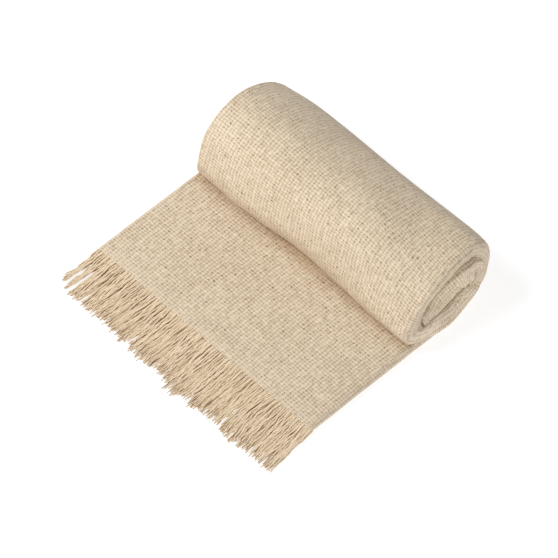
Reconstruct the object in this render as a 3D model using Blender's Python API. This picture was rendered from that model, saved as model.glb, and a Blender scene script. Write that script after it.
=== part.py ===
"""A throw blanket of loose plain weave, folded to a quarter of its width and rolled
up towards its fringed end, which is left lying flat in front of the roll.

Metres, +Z up. X runs along the roll, with the smooth fold of the cloth at +X.
-Y is the way from the roll to the fringe. The throw rests on z = 0.
"""

import math
from collections import namedtuple

import bmesh
import bpy
from mathutils import Vector

# The folded strip: 1.3 m of cloth in four plies across. Each ply is a pair of
# cloths, because the throw is also folded in half along its length.
STRIP_WIDTH = 0.325
PLY_GAP = 0.0006
SELVEDGE_STAGGER = 0.004
RUN_SHARES = (0.0, 0.33, 0.62, 0.76, 0.87, 0.95, 1.0)
OUTER_FOLD_STEPS = 5
INNER_FOLD_STEPS = 3
STATIONS_PER_ROW = 2
# The flat end's right side has crept towards the fringe, and spread a little.
TAIL_SKEW = 0.0063
TAIL_FLARE = 0.0020
# What lies nearer the floor than this rests on it, so that the base is one plane.
FLAT_UNDER = 0.00005

# How the roll's section changes along X: the left shape, then a ramp to the right one.
RAMP_START = 0.050
RAMP_END = 0.1625

# The strip's way through the roll, from the fringe to the folded inner end. For
# each place: the strip's middle and its thickness in the roll's left section, the
# same in its right section, and how far each side of it has slid along X.
Row = namedtuple("Row", "place y_left z_left thick_left y_right z_right thick_right slid_left slid_right")
STRIP_PATH = (
    Row("fringe edge", -0.1470, 0.0048, 0.0096, -0.1470, 0.0044, 0.0088, 0.0000, 0.0000),
    Row("tail", -0.0980, 0.0055, 0.0110, -0.0980, 0.0050, 0.0100, 0.0000, 0.0000),
    Row("tail by roll", -0.0480, 0.0060, 0.0120, -0.0480, 0.0055, 0.0110, 0.0000, 0.0000),
    Row("under front", 0.0000, 0.0064, 0.0128, 0.0000, 0.0060, 0.0120, 0.0000, 0.0000),
    Row("under middle", 0.0480, 0.0066, 0.0132, 0.0440, 0.0060, 0.0120, 0.0000, 0.0000),
    Row("under back", 0.0900, 0.0070, 0.0140, 0.0780, 0.0080, 0.0126, 0.0000, -0.0010),
    Row("back foot", 0.1130, 0.0130, 0.0148, 0.1020, 0.0185, 0.0136, 0.0000, -0.0030),
    Row("back low", 0.1250, 0.0270, 0.0155, 0.1170, 0.0325, 0.0145, 0.0000, -0.0050),
    Row("back", 0.1270, 0.0440, 0.0160, 0.1225, 0.0485, 0.0150, -0.0010, -0.0060),
    Row("back shoulder", 0.1180, 0.0625, 0.0165, 0.1180, 0.0650, 0.0155, -0.0010, -0.0060),
    Row("top back", 0.1000, 0.0785, 0.0168, 0.1015, 0.0780, 0.0158, -0.0010, -0.0060),
    Row("top", 0.0770, 0.0895, 0.0170, 0.0770, 0.0790, 0.0160, -0.0010, -0.0050),
    Row("crown", 0.0510, 0.0953, 0.0174, 0.0540, 0.0710, 0.0164, -0.0010, -0.0040),
    Row("front shoulder", 0.0280, 0.0895, 0.0172, 0.0340, 0.0615, 0.0162, -0.0015, -0.0030),
    Row("front high", 0.0145, 0.0755, 0.0170, 0.0183, 0.0503, 0.0156, -0.0022, -0.0020),
    Row("front", 0.0085, 0.0570, 0.0168, 0.0100, 0.0390, 0.0148, -0.0036, 0.0000),
    Row("front low", 0.0085, 0.0385, 0.0160, 0.0085, 0.0290, 0.0140, -0.0048, 0.0020),
    Row("front foot", 0.0135, 0.0240, 0.0148, 0.0150, 0.0211, 0.0134, -0.0050, 0.0040),
    Row("second front", 0.0340, 0.0211, 0.0140, 0.0320, 0.0193, 0.0132, -0.0030, 0.0050),
    Row("second middle", 0.0600, 0.0215, 0.0140, 0.0550, 0.0196, 0.0132, 0.0000, 0.0050),
    Row("second back", 0.0860, 0.0255, 0.0142, 0.0780, 0.0245, 0.0136, 0.0000, 0.0030),
    Row("inner back low", 0.1025, 0.0365, 0.0146, 0.0940, 0.0360, 0.0140, 0.0000, 0.0010),
    Row("inner back", 0.1055, 0.0490, 0.0150, 0.0995, 0.0485, 0.0142, 0.0000, 0.0000),
    Row("core back", 0.0955, 0.0610, 0.0154, 0.0940, 0.0590, 0.0144, 0.0000, 0.0000),
    Row("core upper", 0.0760, 0.0705, 0.0156, 0.0760, 0.0620, 0.0146, 0.0000, 0.0010),
    Row("core top", 0.0560, 0.0750, 0.0154, 0.0570, 0.0523, 0.0138, 0.0000, 0.0010),
    Row("core brow", 0.0430, 0.0728, 0.0154, 0.0450, 0.0484, 0.0122, 0.0000, 0.0010),
    Row("core shoulder", 0.0335, 0.0655, 0.0152, 0.0345, 0.0452, 0.0102, 0.0000, 0.0020),
    Row("core front", 0.0295, 0.0535, 0.0148, 0.0278, 0.0388, 0.0092, 0.0000, 0.0020),
    Row("core foot", 0.0350, 0.0410, 0.0144, 0.0345, 0.0324, 0.0096, 0.0000, 0.0020),
    Row("core lower", 0.0550, 0.0368, 0.0144, 0.0480, 0.0330, 0.0112, 0.0000, 0.0010),
    Row("core lower back", 0.0760, 0.0415, 0.0144, 0.0710, 0.0405, 0.0134, 0.0000, 0.0000),
    Row("core turn", 0.0850, 0.0480, 0.0136, 0.0800, 0.0440, 0.0116, 0.0000, 0.0000),
)

# Soft dents and swells that the whole roll shares: middle, reach and push. They
# fade out between two heights above the floor.
Dent = namedtuple("Dent", "place middle reach push")
DENTS = (
    Dent("dip near end", (0.085, 0.080, 0.100), (0.035, 0.040, 0.040), (0, -0.0010, -0.0020)),
    Dent("mid swell", (-0.020, 0.060, 0.104), (0.060, 0.050, 0.040), (0, 0, 0.0018)),
    Dent("slack front", (0.070, 0.002, 0.050), (0.050, 0.030, 0.030), (0, 0.0025, 0)),
    Dent("full front", (-0.070, 0.002, 0.045), (0.060, 0.030, 0.030), (0, -0.0018, 0)),
    Dent("left back", (-0.170, 0.125, 0.070), (0.035, 0.035, 0.040), (0, -0.0055, -0.0020)),
    Dent("right back", (0.170, 0.125, 0.050), (0.022, 0.035, 0.045), (0, -0.0042, -0.0012)),
    Dent("back hollow", (0.020, 0.130, 0.050), (0.060, 0.035, 0.035), (0, -0.0025, 0)),
)
DENTS_START = 0.016
DENTS_FULL = 0.040

# The fringe: warp yarns in two tiers that leave a narrow strip at the cloth's edge.
FRINGE_GAP = 0.0003
BACKING_DEPTH = 0.0030
STRANDS_ACROSS = 73
STRAND_SHARE = 0.70
STRAND_SEGMENTS = 3
# For each tier: its height off the floor and its thickness at the root, the same
# at the tips, and how long its strands are beside the fringe's own length.
Tier = namedtuple("Tier", "root_low root_thick tip_low tip_thick length_share")
TIERS = (
    Tier(0.0, 0.0036, 0.0, 0.0020, 1.0),
    Tier(0.0044, 0.0036, 0.0028, 0.0018, 0.86),
)
FRINGE_LENGTH_LEFT = 0.050
FRINGE_LENGTH_RIGHT = 0.064
TIP_WIDTH_SHARE = 0.70
# Waves from strand to strand: radians a strand, radians a tier, and how far.
Wave = namedtuple("Wave", "per_strand per_tier reach")
RAGGED_WAVES = (Wave(2.4, 1.7, 0.0027), Wave(0.61, 2.0, 0.0019))
DRIFT_WAVES = (Wave(0.43, 2.1, 0.0020), Wave(0.77, 1.0, 0.0010))
# The outermost yarns fan out, most at the two corners.
FAN_AT_LEFT = -0.0020
FAN_AT_RIGHT = 0.0045
FAN_POWER = 3

CLOTH_COLOUR = (0.66, 0.52, 0.36, 1.0)
CLOTH_ROUGHNESS = 0.95


def smooth_step(share):
    """A soft ramp from 0 to 1."""
    share = min(max(share, 0.0), 1.0)
    return share * share * (3.0 - 2.0 * share)


def spline(values, position):
    """A smooth curve through evenly numbered values, and its slope."""
    last = len(values) - 1
    row = min(int(position), last - 1)
    t = position - row
    before = values[max(row - 1, 0)]
    start = values[row]
    end = values[row + 1]
    after = values[min(row + 2, last)]
    a = 2.0 * start
    b = end - before
    c = 2.0 * before - 5.0 * start + 4.0 * end - after
    d = 3.0 * (start - end) + after - before
    value = 0.5 * (a + b * t + c * t * t + d * t ** 3)
    slope = 0.5 * (b + 2.0 * c * t + 3.0 * d * t * t)
    return value, slope


def path_at(position, x):
    """The strip's middle, outward direction, thickness and slide at a place along it.

    The section mixes its left and right shapes by a ramp, and the slide evenly.
    """
    ramp = smooth_step((x - RAMP_START) / (RAMP_END - RAMP_START))
    mixed = []
    for measure in ("y", "z", "thick"):
        at_left = spline([getattr(row, measure + "_left") for row in STRIP_PATH], position)
        at_right = spline([getattr(row, measure + "_right") for row in STRIP_PATH], position)
        mixed.append([a + ramp * (b - a) for a, b in zip(at_left, at_right)])
    (y, slope_y), (z, slope_z), (thickness, _) = mixed
    length = math.hypot(slope_y, slope_z)
    outward = Vector((0.0, slope_z / length, -slope_y / length))
    slid_left = spline([row.slid_left for row in STRIP_PATH], position)[0]
    slid_right = spline([row.slid_right for row in STRIP_PATH], position)[0]
    slide = slid_left + (slid_right - slid_left) * (x / STRIP_WIDTH + 0.5)
    return Vector((0.0, y, z)), outward, thickness, slide


def laid(x, y):
    """A place of the flat end, whose right side has crept out towards the fringe."""
    crept = (x / STRIP_WIDTH + 0.5) * min(max(y / STRIP_PATH[0].y_left, 0.0), 1.0)
    return x + TAIL_FLARE * crept, y - TAIL_SKEW * crept


def dented(point):
    """The point after the roll's shared dents, which fade out towards the floor."""
    moved = point.copy()
    rise = smooth_step((point.z - DENTS_START) / (DENTS_FULL - DENTS_START))
    for dent in DENTS:
        away = 0.0
        for middle, reach, here in zip(dent.middle, dent.reach, point):
            away += ((here - middle) / reach) ** 2
        moved += Vector(dent.push) * (rise * math.exp(-away))
    return moved


def fold_arc(edge, low, high, side, steps):
    """Points round a fold from depth high to depth low, without its two ends."""
    middle = 0.5 * (low + high)
    radius = 0.5 * (high - low)
    points = []
    for step in range(1, steps):
        angle = math.pi * (0.5 - step / steps)
        across = side * math.cos(angle)
        up = math.sin(angle)
        points.append((edge + radius * across, middle + radius * up, across, up))
    return points


def ply_run(start, end, depth, facing):
    """Points along one ply, with the way its first face looks."""
    return [(start + (end - start) * share, depth, 0.0, facing) for share in RUN_SHARES]


def section(thickness):
    """The strip's section as one ribbon: pairs of x and depth on its two faces.

    The ribbon starts at a selvedge on the outer side, turns round the big fold at
    +X, comes back on the inner side, turns in at -X and runs out and back between.
    """
    ply = (thickness - 3.0 * PLY_GAP) / 4.0
    pitch = ply + PLY_GAP
    depths = [1.5 * pitch, 0.5 * pitch, -0.5 * pitch, -1.5 * pitch]
    right = 0.5 * STRIP_WIDTH - 0.5 * thickness
    left = -0.5 * STRIP_WIDTH + 0.5 * pitch + 0.5 * ply
    ribbon = ply_run(left, right, depths[0], 1.0)
    ribbon += fold_arc(right, depths[3], depths[0], 1.0, OUTER_FOLD_STEPS)
    ribbon += [(x, d, n, -f) for x, d, n, f in reversed(ply_run(left, right, depths[3], 1.0))]
    turn = fold_arc(left, depths[3], depths[2], -1.0, INNER_FOLD_STEPS)
    ribbon += reversed(turn)
    ribbon += [(x, d, n, 1.0) for x, d, n, _ in ply_run(left, right, depths[2], 1.0)]
    turn = fold_arc(right, depths[2], depths[1], 1.0, INNER_FOLD_STEPS)
    ribbon += [(x, d, -n, -f) for x, d, n, f in reversed(turn)]
    back = ply_run(left + SELVEDGE_STAGGER, right, depths[1], 1.0)
    ribbon += [(x, d, n, -f) for x, d, n, f in reversed(back)]
    half = 0.5 * ply
    first = [(x + half * n, d + half * f) for x, d, n, f in ribbon]
    second = [(x - half * n, d - half * f) for x, d, n, f in ribbon]
    return first, second


def strip_point(position, x, depth_share):
    """A point of the strip from its x and its share of the half thickness outward."""
    middle, outward, thickness, slide = path_at(position, x)
    point = middle + outward * (depth_share * 0.5 * thickness)
    point.x, point.y = laid(x + slide, point.y)
    if point.z < FLAT_UNDER:
        point.z = 0.0
    return dented(point)


def add_two_triangles(mesh, a, b, c, d):
    """A quad split so that all plies have the same diagonals and keep their gap."""
    if b.co.x < a.co.x:
        mesh.faces.new((a, b, c))
        mesh.faces.new((a, c, d))
    else:
        mesh.faces.new((a, b, d))
        mesh.faces.new((b, c, d))


def build_rolled_throw():
    """One closed solid: the folded ribbon swept along the strip's way into the roll."""
    mesh = bmesh.new()
    stations = STATIONS_PER_ROW * (len(STRIP_PATH) - 1) + 1
    loops = []
    for station in range(stations):
        position = station / STATIONS_PER_ROW
        thickness = path_at(position, 0.0)[2]
        half = 0.5 * thickness
        sides = section(thickness)
        loop = []
        for side in sides:
            loop.append([mesh.verts.new(strip_point(position, x, d / half)) for x, d in side])
        loops.append(loop)
    for before, after in zip(loops, loops[1:]):
        rim = before[0] + before[1][::-1]
        next_rim = after[0] + after[1][::-1]
        for i in range(len(rim)):
            j = (i + 1) % len(rim)
            add_two_triangles(mesh, rim[i], rim[j], next_rim[j], next_rim[i])
    for first, second in (loops[0], loops[-1]):
        for i in range(len(first) - 1):
            mesh.faces.new((first[i], first[i + 1], second[i + 1], second[i]))
    bmesh.ops.recalc_face_normals(mesh, faces=mesh.faces)
    return finish_object("rolled_throw", mesh)


def wave_sum(waves, strand, tier):
    """The waves added up at one strand."""
    return sum(w.reach * math.sin(w.per_strand * strand + w.per_tier * tier) for w in waves)


def strand_length(share, strand, tier):
    """How far a strand reaches, ragged from strand to strand by a fixed rule."""
    length = FRINGE_LENGTH_LEFT + share * (FRINGE_LENGTH_RIGHT - FRINGE_LENGTH_LEFT)
    return length * TIERS[tier].length_share + wave_sum(RAGGED_WAVES, strand, tier)


def strand_drift(strand, tier, share):
    """How far a strand has swung sideways, alike for neighbours, so none cross."""
    across = strand / (STRANDS_ACROSS - 1)
    fan = FAN_AT_LEFT * (1.0 - across) ** FAN_POWER + FAN_AT_RIGHT * across ** FAN_POWER
    return share * share * wave_sum(DRIFT_WAVES, strand, tier) + share * fan


def build_fringe():
    """A narrow backing strip with two tiers of yarns drawn out of its front face."""
    mesh = bmesh.new()
    pitch = STRIP_WIDTH / STRANDS_ACROSS
    back = STRIP_PATH[0].y_left - FRINGE_GAP
    front = back - BACKING_DEPTH
    columns = []
    for strand in range(STRANDS_ACROSS):
        middle = -0.5 * STRIP_WIDTH + (strand + 0.5) * pitch
        columns += [middle - 0.5 * STRAND_SHARE * pitch, middle + 0.5 * STRAND_SHARE * pitch]
    rows = []
    for tier in TIERS:
        rows += [tier.root_low, tier.root_low + tier.root_thick]
    grid = [[mesh.verts.new((*laid(x, front), z)) for z in rows] for x in columns]
    rear = []
    for x in (columns[0], columns[-1]):
        rear.append([mesh.verts.new((*laid(x, back), z)) for z in (rows[0], rows[-1])])
    for i in range(len(columns) - 1):
        for j in range(len(rows) - 1):
            corners = (grid[i][j], grid[i + 1][j], grid[i + 1][j + 1], grid[i][j + 1])
            if i % 2 == 0 and j % 2 == 0:
                draw_strand(mesh, corners, (i // 2, j // 2))
            else:
                mesh.faces.new(corners)
    bottom = [column[0] for column in grid]
    top = [column[-1] for column in grid]
    mesh.faces.new(bottom[::-1] + [rear[0][0], rear[1][0]])
    mesh.faces.new(top + [rear[1][1], rear[0][1]])
    mesh.faces.new(grid[0] + [rear[0][1], rear[0][0]])
    mesh.faces.new(grid[-1][::-1] + [rear[1][0], rear[1][1]])
    mesh.faces.new((rear[0][0], rear[0][1], rear[1][1], rear[1][0]))
    bmesh.ops.recalc_face_normals(mesh, faces=mesh.faces)
    return finish_object("fringe", mesh)


def draw_strand(mesh, root, place):
    """One yarn of four sides from its root corners to a blunt tip near the floor."""
    strand, tier_number = place
    tier = TIERS[tier_number]
    middle_x = 0.5 * (root[0].co.x + root[1].co.x)
    half_root = 0.5 * (root[1].co.x - root[0].co.x)
    front = root[0].co.y
    length = strand_length(middle_x / STRIP_WIDTH + 0.5, strand, tier_number)
    ring = list(root)
    for segment in range(1, STRAND_SEGMENTS + 1):
        share = segment / STRAND_SEGMENTS
        low = tier.root_low + share * (tier.tip_low - tier.root_low)
        thick = tier.root_thick + share * (tier.tip_thick - tier.root_thick)
        half = half_root * (1.0 - share * (1.0 - TIP_WIDTH_SHARE))
        x = middle_x + strand_drift(strand, tier_number, share)
        y = front - length * share
        high = low + thick
        places = ((x - half, y, low), (x + half, y, low), (x + half, y, high), (x - half, y, high))
        next_ring = [mesh.verts.new(place) for place in places]
        for i in range(4):
            j = (i + 1) % 4
            mesh.faces.new((ring[i], ring[j], next_ring[j], next_ring[i]))
        ring = next_ring
    mesh.faces.new(ring)


def cloth_material():
    """The oatmeal cloth, matt all over."""
    material = bpy.data.materials.new("oatmeal_cloth")
    material.use_nodes = True
    shader = material.node_tree.nodes["Principled BSDF"]
    shader.inputs["Base Color"].default_value = CLOTH_COLOUR
    shader.inputs["Roughness"].default_value = CLOTH_ROUGHNESS
    shader.inputs["Metallic"].default_value = 0.0
    return material


def finish_object(name, mesh):
    """Turns the built mesh into a named object of the scene."""
    data = bpy.data.meshes.new(name)
    mesh.to_mesh(data)
    mesh.free()
    piece = bpy.data.objects.new(name, data)
    bpy.context.scene.collection.objects.link(piece)
    return piece


def centre_on_base(pieces):
    """Moves the meshes so that the origin is the middle of the base they rest on."""
    corners = [vertex.co for piece in pieces for vertex in piece.data.vertices]
    lowest = [min(corner[axis] for corner in corners) for axis in range(3)]
    highest = [max(corner[axis] for corner in corners) for axis in range(3)]
    shift = Vector((-0.5 * (lowest[0] + highest[0]), -0.5 * (lowest[1] + highest[1]), -lowest[2]))
    for piece in pieces:
        for vertex in piece.data.vertices:
            vertex.co += shift


def main():
    for piece in list(bpy.data.objects):
        bpy.data.objects.remove(piece)
    pieces = [build_rolled_throw(), build_fringe()]
    centre_on_base(pieces)
    material = cloth_material()
    for piece in pieces:
        piece.data.materials.append(material)


main()
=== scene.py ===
"""The looks of a throw blanket, folded into a strip and rolled up towards its fringe.

Metres, +Z up. X runs along the roll, with the smooth fold of the cloth at +X.
-Y is the way from the roll to the fringe. The throw rests on z = 0.
"""

import math
from collections import namedtuple

import bpy
import numpy as np
from mathutils import Matrix, Vector


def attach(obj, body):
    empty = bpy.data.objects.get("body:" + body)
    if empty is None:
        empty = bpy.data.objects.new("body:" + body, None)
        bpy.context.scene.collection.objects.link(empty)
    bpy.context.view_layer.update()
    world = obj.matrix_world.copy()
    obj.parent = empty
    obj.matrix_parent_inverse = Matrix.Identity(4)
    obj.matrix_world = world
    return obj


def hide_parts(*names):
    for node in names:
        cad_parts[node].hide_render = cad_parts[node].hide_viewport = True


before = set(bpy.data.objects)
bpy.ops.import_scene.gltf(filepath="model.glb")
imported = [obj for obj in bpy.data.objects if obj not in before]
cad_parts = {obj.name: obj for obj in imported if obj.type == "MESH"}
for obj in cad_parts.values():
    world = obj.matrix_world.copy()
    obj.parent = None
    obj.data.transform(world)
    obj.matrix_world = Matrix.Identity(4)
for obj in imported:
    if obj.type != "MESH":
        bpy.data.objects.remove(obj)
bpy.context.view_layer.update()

# The cloth as it was woven: the pitch of its wefts.
WEFT_PITCH = 0.00352

# Where the strip's own origin lies in the throw's frame.
STRIP_ORIGIN = (-0.001324, 0.043830, 0.0)

# The folded strip: four plies, each a pair of cloths.
STRIP_WIDTH = 0.325
PLY_GAP = 0.0006
SELVEDGE_STAGGER = 0.004
NOTCH_DEPTH = 0.006
NOTCH_GAP = 0.0004
TAIL_SKEW = 0.0063
TAIL_FLARE = 0.0020
FLAT_UNDER = 0.00005
SPREAD_LEFT = 0.0044
SPREAD_RIGHT = 0.0024
SPREAD_POWER = 3
SPREAD_LOW = 0.0135
SPREAD_RISE = 0.0080
SPREAD_FROM = 0.085
SPREAD_FADE = 0.040
RAMP_START = 0.050
RAMP_END = 0.1625

# The strip's way through the roll, from the fringe to the folded inner end. For
# each place: the strip's middle and its thickness in the roll's left section, the
# same in its right section, and how far each side of it has slid along X.
Row = namedtuple("Row", "place y_left z_left thick_left y_right z_right thick_right slid_left slid_right")
STRIP_PATH = (
    Row("fringe edge", -0.1470, 0.0048, 0.0096, -0.1470, 0.0044, 0.0088, 0.0000, 0.0000),
    Row("tail", -0.0980, 0.0055, 0.0110, -0.0980, 0.0050, 0.0100, 0.0000, 0.0000),
    Row("tail by roll", -0.0480, 0.0060, 0.0120, -0.0480, 0.0055, 0.0110, 0.0000, 0.0000),
    Row("under front", 0.0000, 0.0064, 0.0128, 0.0000, 0.0060, 0.0120, 0.0000, 0.0000),
    Row("under middle", 0.0480, 0.0066, 0.0132, 0.0440, 0.0060, 0.0120, 0.0000, 0.0000),
    Row("under back", 0.0900, 0.0070, 0.0140, 0.0780, 0.0080, 0.0126, 0.0000, -0.0010),
    Row("back foot", 0.1130, 0.0130, 0.0148, 0.1020, 0.0185, 0.0136, 0.0000, -0.0030),
    Row("back low", 0.1250, 0.0270, 0.0155, 0.1170, 0.0325, 0.0145, 0.0000, -0.0050),
    Row("back", 0.1270, 0.0440, 0.0160, 0.1225, 0.0485, 0.0150, -0.0010, -0.0060),
    Row("back shoulder", 0.1180, 0.0625, 0.0165, 0.1180, 0.0650, 0.0155, -0.0010, -0.0060),
    Row("top back", 0.1000, 0.0785, 0.0168, 0.1015, 0.0780, 0.0158, -0.0010, -0.0060),
    Row("top", 0.0770, 0.0895, 0.0170, 0.0770, 0.0790, 0.0160, -0.0010, -0.0050),
    Row("crown", 0.0510, 0.0953, 0.0174, 0.0540, 0.0710, 0.0164, -0.0010, -0.0040),
    Row("front shoulder", 0.0280, 0.0895, 0.0172, 0.0340, 0.0615, 0.0162, -0.0015, -0.0030),
    Row("front high", 0.0145, 0.0755, 0.0170, 0.0183, 0.0503, 0.0156, -0.0022, -0.0020),
    Row("front", 0.0085, 0.0570, 0.0168, 0.0100, 0.0390, 0.0158, -0.0030, 0.0000),
    Row("front low", 0.0085, 0.0385, 0.0160, 0.0092, 0.0305, 0.0184, -0.0020, 0.0020),
    Row("front foot", 0.0135, 0.0240, 0.0148, 0.0166, 0.0246, 0.0236, -0.0008, 0.0040),
    Row("second front", 0.0340, 0.0211, 0.0140, 0.0330, 0.0228, 0.0206, -0.0030, 0.0050),
    Row("second middle", 0.0600, 0.0215, 0.0140, 0.0550, 0.0212, 0.0172, 0.0000, 0.0050),
    Row("second back", 0.0860, 0.0255, 0.0142, 0.0780, 0.0240, 0.0160, 0.0000, 0.0030),
    Row("inner back low", 0.1025, 0.0365, 0.0146, 0.0985, 0.0345, 0.0142, 0.0000, 0.0010),
    Row("inner back", 0.1055, 0.0490, 0.0150, 0.1065, 0.0485, 0.0144, 0.0000, 0.0000),
    Row("core back", 0.0955, 0.0610, 0.0154, 0.1005, 0.0610, 0.0150, 0.0000, 0.0000),
    Row("core upper", 0.0760, 0.0705, 0.0156, 0.0780, 0.0617, 0.0168, 0.0000, 0.0010),
    Row("core top", 0.0560, 0.0750, 0.0154, 0.0560, 0.0540, 0.0170, 0.0000, 0.0010),
    Row("core brow", 0.0430, 0.0728, 0.0154, 0.0420, 0.0492, 0.0156, 0.0000, 0.0010),
    Row("core shoulder", 0.0335, 0.0655, 0.0152, 0.0315, 0.0440, 0.0124, 0.0000, 0.0020),
    Row("core front", 0.0295, 0.0535, 0.0148, 0.0222, 0.0396, 0.0100, 0.0000, 0.0020),
    Row("core foot", 0.0350, 0.0410, 0.0144, 0.0312, 0.0352, 0.0094, 0.0000, 0.0020),
    Row("core lower", 0.0550, 0.0368, 0.0144, 0.0500, 0.0376, 0.0130, 0.0000, 0.0010),
    Row("core lower back", 0.0760, 0.0415, 0.0144, 0.0740, 0.0414, 0.0168, 0.0000, 0.0000),
    Row("core turn", 0.0850, 0.0480, 0.0136, 0.0984, 0.0500, 0.0150, 0.0000, 0.0000),
)
PATH_COLUMNS = {name: np.array([getattr(row, name) for row in STRIP_PATH]) for name in Row._fields[1:]}
LAST_PLACE = len(STRIP_PATH) - 1.0

# Soft dents and swells that the whole roll shares: middle, reach and push. They
# fade out between two heights above the floor.
Dent = namedtuple("Dent", "place middle reach push")
DENTS = (
    Dent("dip near end", (0.085, 0.080, 0.100), (0.035, 0.040, 0.040), (0, -0.0010, -0.0020)),
    Dent("mid swell", (-0.020, 0.060, 0.104), (0.060, 0.050, 0.040), (0, 0, 0.0018)),
    Dent("slack front", (0.070, 0.002, 0.050), (0.050, 0.030, 0.030), (0, 0.0025, 0)),
    Dent("full front", (-0.070, 0.002, 0.045), (0.060, 0.030, 0.030), (0, -0.0018, 0)),
    Dent("left back", (-0.170, 0.125, 0.070), (0.035, 0.035, 0.040), (0, -0.0055, -0.0020)),
    Dent("right back", (0.170, 0.125, 0.058), (0.022, 0.035, 0.045), (-0.0014, -0.0052, -0.0018)),
    Dent("back hollow", (0.020, 0.130, 0.050), (0.060, 0.035, 0.035), (0, -0.0025, 0)),
    Dent("full back", (0.030, 0.105, 0.085), (0.110, 0.030, 0.030), (0, 0.0024, 0.0018)),
    Dent("left crown", (-0.120, 0.060, 0.105), (0.070, 0.045, 0.030), (0, 0.0010, 0.0044)),
)
DENTS_START = 0.016
DENTS_FULL = 0.040

# The roll's foot sags forward over the flat end: how far, from place to place in X.
FOOT_X = (-0.1625, -0.100, -0.055, -0.024, 0.006, 0.037, 0.068, 0.100, 0.1625)
FOOT_SAG = (0.0094, 0.0114, 0.0092, 0.0062, 0.0058, 0.0080, 0.0098, 0.0108, 0.0104)
FOOT_DEEP = 0.017
FOOT_LOW = 0.0135
FOOT_RISE = 0.0042
FOOT_TOP = 0.0270
FOOT_FADE = 0.0220
FOOT_SINK = 0.18

# How far the rim at +X runs together with the turn on its inner and on its outer
# side, so that the two show as one thick lip. Other places stand by themselves.
JOINED_RIMS = {
    "under front": (0.15, 0.0),
    "under middle": (0.90, 0.0),
    "under back": (1.00, 0.0),
    "back foot": (1.00, 0.0),
    "back low": (1.00, 0.0),
    "back": (0.90, 0.0),
    "back shoulder": (0.85, 0.0),
    "top back": (0.55, 0.0),
    "front low": (0.80, 0.0),
    "front foot": (1.00, 0.20),
    "second front": (0.20, 0.60),
    "second middle": (0.0, 0.95),
    "second back": (0.0, 1.00),
    "inner back low": (0.50, 1.00),
    "inner back": (0.90, 0.90),
    "core back": (0.90, 0.85),
    "core upper": (1.00, 0.35),
    "core top": (1.00, 0.0),
    "core brow": (1.00, 0.0),
    "core shoulder": (0.70, 0.0),
    "core front": (0.50, 0.50),
    "core foot": (0.80, 0.30),
    "core lower": (1.00, 0.0),
    "core lower back": (1.00, 0.20),
    "core turn": (0.90, 0.60),
}
RIM_JOINS = [np.array([JOINED_RIMS.get(row.place, (0.0, 0.0))[side] for row in STRIP_PATH])
             for side in (0, 1)]

# Swells and pits of the right end: middle, reach and push, as for the dents.
END_SWELLS = (
    Dent("lower lip's bulge", (0.1640, 0.072, 0.034), (0.016, 0.012, 0.014), (0.0014, 0, 0.0085)),
    Dent("inner lip's brow", (0.1640, 0.050, 0.052), (0.014, 0.030, 0.009), (-0.0020, 0, 0)),
    Dent("pit behind the inner lip", (0.1640, 0.097, 0.071), (0.012, 0.0036, 0.0030), (-0.0036, 0, 0)),
    Dent("pit of the fan", (0.1640, 0.0700, 0.0395), (0.012, 0.0026, 0.0026), (-0.0050, 0, 0)),
    Dent("end of the crevice", (0.1600, 0.024, 0.027), (0.020, 0.013, 0.008), (0.0006, 0.0030, 0.0050)),
    Dent("lobe at the front", (0.1550, 0.0165, 0.0300), (0.012, 0.0060, 0.0085), (0.0090, 0, 0)),
)
# Creases of the right end: the line in (y, z), its width and how far it is drawn in.
Crease = namedtuple("Crease", "place line width depth")
END_CREASES = (
    Crease("lower lip to back", ((0.086, 0.039), (0.097, 0.033), (0.108, 0.027)), 0.0021, 0.0044),
    Crease("fan, first", ((0.070, 0.040), (0.080, 0.031)), 0.0014, 0.0022),
    Crease("fan, second", ((0.069, 0.039), (0.074, 0.026)), 0.0014, 0.0022),
    Crease("fan, third", ((0.068, 0.038), (0.065, 0.026)), 0.0014, 0.0018),
    Crease("rim by the foot", ((0.018, 0.040), (0.013, 0.024), (0.020, 0.014)), 0.0024, 0.0012),
    Crease("lip's end", ((0.092, 0.060), (0.103, 0.054)), 0.0030, 0.0012),
)
END_STARTS = 0.138
END_FULL = 0.154

# The weave on the mesh: a point at each crossing, each gap and each yarn's side.
WARPS_STRAIGHT = 71
WARPS_FOLD = 5
POINTS_PER_YARN = 2
WEAVE_RELIEF = 0.00018
RELIEF_UNEVEN = 0.45
YARN_WANDER = 0.00045
WANDER_LIMIT = 1.7
# How many points lie from knot to knot of a yarn's random line: in its height, and
# sideways in the warps and in the wefts.
HEIGHT_KNOTS = 3
WARP_KNOTS = 9
WEFT_KNOTS = 11
LEAST_KNOTS = 4
FINE_SHARES = np.arange(POINTS_PER_YARN * WARPS_STRAIGHT) / (POINTS_PER_YARN * WARPS_STRAIGHT)
# Where hidden faces have their points, as shares of the way across to +X or to -X.
TO_RIGHT = (0.0, 0.25, 0.50, 0.66, 0.76, 0.84, 0.90, 0.95)
TO_LEFT = (0.0, 0.05, 0.10, 0.16, 0.24, 0.34, 0.50, 0.75)
# Steps round the strip's folds: the outer side of the small fold at -X and of the one
# at +X, the tight inner side of both, and the inner side of the wide fold.
LEFT_FOLD_STEPS = 6
RIGHT_FOLD_STEPS = 4
TIGHT_STEPS = 2
WIDE_FOLD_STEPS = 5
# Where the fine weave turns from the strip's inner side to its outer side, and
# where it ends inside the roll, as places along the path.
FLAT_END_STOPS = 3.2
FINE_ROLL_STARTS = 5.0
FINE_ROLL_STOPS = 18.2
# How far apart the places lie where the weave shows, under the roll and in its core,
# and at how many places the path is measured.
FINE_STEP = WEFT_PITCH / POINTS_PER_YARN
UNDER_STEP = 2.0 * FINE_STEP
CORE_STEP = 0.0030
PATH_SAMPLES = 6001
# For the flat end, the roll and the core: whether the yarns stand out in relief on
# the strip's outer face and on its inner face.
FINE_FACES = ((False, True), (True, False), (False, False))

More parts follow.
